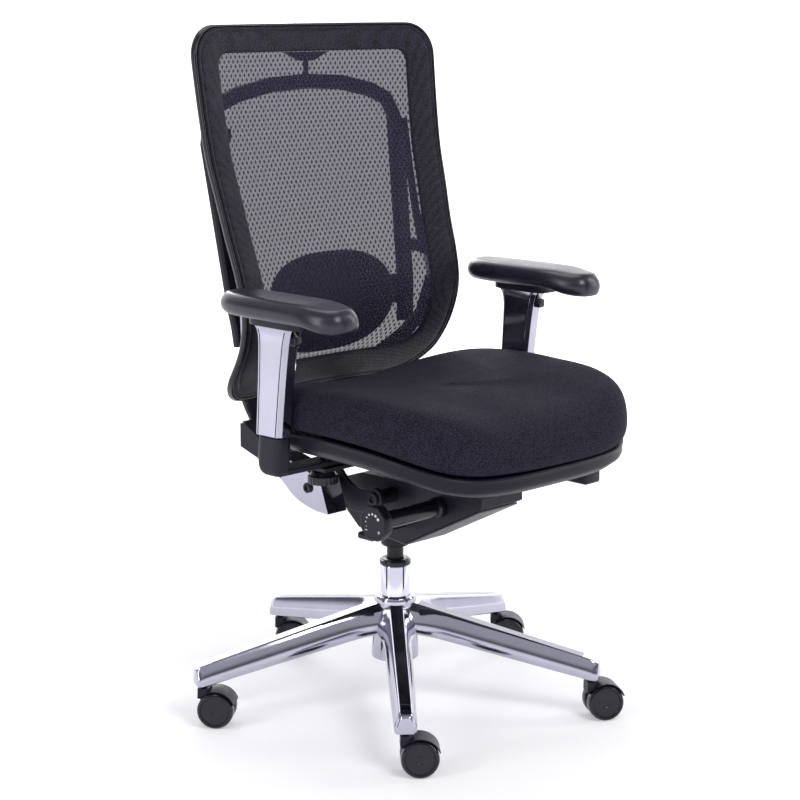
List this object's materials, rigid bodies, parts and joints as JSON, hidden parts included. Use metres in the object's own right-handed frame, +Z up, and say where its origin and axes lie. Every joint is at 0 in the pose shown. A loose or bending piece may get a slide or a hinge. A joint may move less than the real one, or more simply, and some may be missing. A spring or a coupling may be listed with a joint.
{
  "type": "swivel office chair",
  "caption": "Swivel office chair with a see-through mesh back, moulded seat, height-adjustable armrests, reclining mechanism, gas lift and a polished caster base.",
  "frame": {"origin": "Middle of the floor area the whole chair covers, on the floor. The gas column's axis is 26 mm towards -X from it.", "axes": "+Z up, the sitter faces -Y, the sitter's left is +X"},
  "size_m": [0.707, 0.7198, 1.13],
  "materials": {
    "polished_aluminium": "polished die-cast aluminium",
    "chromed_steel": "bright chrome plate",
    "bright_steel": "zinc-plated steel",
    "black_steel": "semi-gloss black powder coat",
    "black_nylon": "fine-grained black nylon",
    "grey_nylon": "fine-grained grey nylon",
    "satin_black_plastic": "satin moulded plastic",
    "arm_pad_polyurethane": "smooth semi-gloss polyurethane skin",
    "seat_fabric": "fine knitted upholstery over foam",
    "back_mesh_fabric": "stretched diamond-weave mesh"
  },
  "bodies": {
    "base": {"base_star": "polished_aluminium", "gas_column": "chromed_steel", "column_cap": "black_nylon"},
    "piston": {"gas_piston": "black_steel"},
    "mechanism": {"mechanism_housing": "black_nylon", "mechanism_cover": "grey_nylon", "recline_pivot_pin": "bright_steel", "seat_pivot_pin": "bright_steel", "tension_spring": "bright_steel", "tension_tube": "black_nylon"},
    "tension_control": {"tension_knob": "black_nylon"},
    "tilt_lock": {"tilt_lock_lever": "black_nylon"},
    "lift_control": {"height_lever": "black_nylon"},
    "seat_support": {"seat_plate": "black_steel"},
    "seat": {"seat_shell": "satin_black_plastic", "seat_cushion": "seat_fabric"},
    "arm_left": {"arm_bracket_left": "black_nylon"},
    "armrest_left": {"arm_sleeve_left": "polished_aluminium", "arm_flange_left": "black_nylon", "arm_pad_left": "arm_pad_polyurethane"},
    "button_left": {"arm_button_left": "black_nylon"},
    "clamp_left": {"arm_clamp_knob_left": "black_nylon"},
    "arm_right": {"arm_bracket_right": "black_nylon"},
    "armrest_right": {"arm_sleeve_right": "polished_aluminium", "arm_flange_right": "black_nylon", "arm_pad_right": "arm_pad_polyurethane"},
    "button_right": {"arm_button_right": "black_nylon"},
    "clamp_right": {"arm_clamp_knob_right": "black_nylon"},
    "back": {"side_plate_left": "black_nylon", "side_plate_right": "black_nylon", "carrier_bolt_left": "black_steel", "carrier_bolt_right": "black_steel", "back_carrier": "polished_aluminium", "back_frame": "black_nylon", "back_mesh": "back_mesh_fabric", "arch_support": "black_nylon", "frame_bracket_left": "black_nylon", "frame_bracket_right": "black_nylon"},
    "lumbar": {"lumbar_pad": "satin_black_plastic", "lumbar_carriage": "black_nylon"},
    "caster_1": {"caster_1_hood": "black_nylon", "caster_1_axle": "bright_steel"},
    "caster_1_left_wheel": {"caster_1_wheel_left": "black_nylon"},
    "caster_1_right_wheel": {"caster_1_wheel_right": "black_nylon"},
    "caster_2": {"caster_2_hood": "black_nylon", "caster_2_axle": "bright_steel"},
    "caster_2_left_wheel": {"caster_2_wheel_left": "black_nylon"},
    "caster_2_right_wheel": {"caster_2_wheel_right": "black_nylon"},
    "caster_3": {"caster_3_hood": "black_nylon", "caster_3_axle": "bright_steel"},
    "caster_3_left_wheel": {"caster_3_wheel_left": "black_nylon"},
    "caster_3_right_wheel": {"caster_3_wheel_right": "black_nylon"},
    "caster_4": {"caster_4_hood": "black_nylon", "caster_4_axle": "bright_steel"},
    "caster_4_left_wheel": {"caster_4_wheel_left": "black_nylon"},
    "caster_4_right_wheel": {"caster_4_wheel_right": "black_nylon"},
    "caster_5": {"caster_5_hood": "black_nylon", "caster_5_axle": "bright_steel"},
    "caster_5_left_wheel": {"caster_5_wheel_left": "black_nylon"},
    "caster_5_right_wheel": {"caster_5_wheel_right": "black_nylon"}
  },
  "joints": [
    {"name": "lift_slide", "type": "slide", "parent": "base", "child": "piston", "axis": [0, 0, 1], "range_m": [0, 0.1]},
    {"name": "seat_swivel", "type": "hinge", "parent": "piston", "child": "mechanism", "pos_m": [-0.026, 0, 0.3], "axis": [0, 0, 1], "continuous": true},
    {"name": "back_recline", "type": "hinge", "parent": "mechanism", "child": "back", "pos_m": [-0.026, -0.0425, 0.375], "axis": [-1, 0, 0], "range_deg": [0, 18], "stiffness_Nm_per_rad": 60, "springref_deg": -34.38},
    {"name": "seat_tilt", "type": "hinge", "parent": "mechanism", "child": "seat_support", "pos_m": [-0.026, -0.105, 0.412], "axis": [-1, 0, 0], "range_deg": [0, 8]},
    {"name": "seat_slide", "type": "slide", "parent": "seat_support", "child": "seat", "axis": [0, -1, 0], "range_m": [0, 0.05]},
    {"name": "height_lever_lift", "type": "hinge", "parent": "mechanism", "child": "lift_control", "pos_m": [0.0228, -0.15, 0.376], "axis": [0, -1, 0], "range_deg": [0, 6], "stiffness_Nm_per_rad": 0.6, "springref_deg": -17.19},
    {"name": "tilt_lock_turn", "type": "hinge", "parent": "mechanism", "child": "tilt_lock", "pos_m": [-0.0748, -0.07, 0.33], "axis": [1, 0, 0], "range_deg": [0, 20]},
    {"name": "tension_turn", "type": "hinge", "parent": "mechanism", "child": "tension_control", "pos_m": [-0.216, -0.15, 0.374], "axis": [-1, 0, 0], "range_deg": [-120, 120]},
    {"name": "arm_width_left", "type": "slide", "parent": "seat_support", "child": "arm_left", "axis": [1, 0, 0], "range_m": [0, 0.03]},
    {"name": "arm_height_left", "type": "slide", "parent": "arm_left", "child": "armrest_left", "axis": [0, -0.0906, 0.9959], "range_m": [0, 0.08]},
    {"name": "arm_button_left_press", "type": "slide", "parent": "armrest_left", "child": "button_left", "axis": [0, 1, 0], "range_m": [0, 0.003], "stiffness_N_per_m": 400, "springref_m": -0.002},
    {"name": "arm_clamp_left_turn", "type": "hinge", "parent": "seat_support", "child": "clamp_left", "pos_m": [0.152, -0.016, 0.42], "axis": [0, 0, 1], "range_deg": [-180, 180]},
    {"name": "arm_width_right", "type": "slide", "parent": "seat_support", "child": "arm_right", "axis": [-1, 0, 0], "range_m": [0, 0.03]},
    {"name": "arm_height_right", "type": "slide", "parent": "arm_right", "child": "armrest_right", "axis": [0, -0.0906, 0.9959], "range_m": [0, 0.08]},
    {"name": "arm_button_right_press", "type": "slide", "parent": "armrest_right", "child": "button_right", "axis": [0, 1, 0], "range_m": [0, 0.003], "stiffness_N_per_m": 400, "springref_m": -0.002},
    {"name": "arm_clamp_right_turn", "type": "hinge", "parent": "seat_support", "child": "clamp_right", "pos_m": [-0.204, -0.016, 0.42], "axis": [0, 0, 1], "range_deg": [-180, 180]},
    {"name": "lumbar_slide", "type": "slide", "parent": "back", "child": "lumbar", "axis": [0, 0.1961, 0.9806], "range_m": [0, 0.05]},
    {"name": "caster_1_swivel", "type": "hinge", "parent": "base", "child": "caster_1", "pos_m": [-0.2502, -0.249, 0.06], "axis": [0, 0, 1], "continuous": true},
    {"name": "caster_2_swivel", "type": "hinge", "parent": "base", "child": "caster_2", "pos_m": [0.1415, -0.2901, 0.06], "axis": [0, 0, 1], "continuous": true},
    {"name": "caster_3_swivel", "type": "hinge", "parent": "base", "child": "caster_3", "pos_m": [0.3017, 0.0697, 0.06], "axis": [0, 0, 1], "continuous": true},
    {"name": "caster_4_swivel", "type": "hinge", "parent": "base", "child": "caster_4", "pos_m": [0.009, 0.3332, 0.06], "axis": [0, 0, 1], "continuous": true},
    {"name": "caster_5_swivel", "type": "hinge", "parent": "base", "child": "caster_5", "pos_m": [-0.332, 0.1363, 0.06], "axis": [0, 0, 1], "continuous": true},
    {"name": "caster_1_left_spin", "type": "hinge", "parent": "caster_1", "child": "caster_1_left_wheel", "pos_m": [-0.2342, -0.2633, 0.03], "axis": [0.6691, 0.7431, 0], "continuous": true},
    {"name": "caster_1_right_spin", "type": "hinge", "parent": "caster_1", "child": "caster_1_right_wheel", "pos_m": [-0.2342, -0.2633, 0.03], "axis": [0.6691, 0.7431, 0], "continuous": true},
    {"name": "caster_2_left_spin", "type": "hinge", "parent": "caster_2", "child": "caster_2_left_wheel", "pos_m": [0.1595, -0.3018, 0.03], "axis": [0.5446, 0.8387, 0], "continuous": true},
    {"name": "caster_2_right_spin", "type": "hinge", "parent": "caster_2", "child": "caster_2_right_wheel", "pos_m": [0.1595, -0.3018, 0.03], "axis": [0.5446, 0.8387, 0], "continuous": true},
    {"name": "caster_3_left_spin", "type": "hinge", "parent": "caster_3", "child": "caster_3_left_wheel", "pos_m": [0.3169, 0.0544, 0.03], "axis": [0.7071, 0.7071, 0], "continuous": true},
    {"name": "caster_3_right_spin", "type": "hinge", "parent": "caster_3", "child": "caster_3_right_wheel", "pos_m": [0.3169, 0.0544, 0.03], "axis": [0.7071, 0.7071, 0], "continuous": true},
    {"name": "caster_4_left_spin", "type": "hinge", "parent": "caster_4", "child": "caster_4_left_wheel", "pos_m": [0.0242, 0.318, 0.03], "axis": [0.7071, 0.7071, 0], "continuous": true},
    {"name": "caster_4_right_spin", "type": "hinge", "parent": "caster_4", "child": "caster_4_right_wheel", "pos_m": [0.0242, 0.318, 0.03], "axis": [0.7071, 0.7071, 0], "continuous": true},
    {"name": "caster_5_left_spin", "type": "hinge", "parent": "caster_5", "child": "caster_5_left_wheel", "pos_m": [-0.3185, 0.1195, 0.03], "axis": [0.7771, 0.6293, 0], "continuous": true},
    {"name": "caster_5_right_spin", "type": "hinge", "parent": "caster_5", "child": "caster_5_right_wheel", "pos_m": [-0.3185, 0.1195, 0.03], "axis": [0.7771, 0.6293, 0], "continuous": true}
  ],
  "couplings": [
    {"joint": "seat_tilt", "follows": "back_recline", "ratio": 0.4}
  ]
}
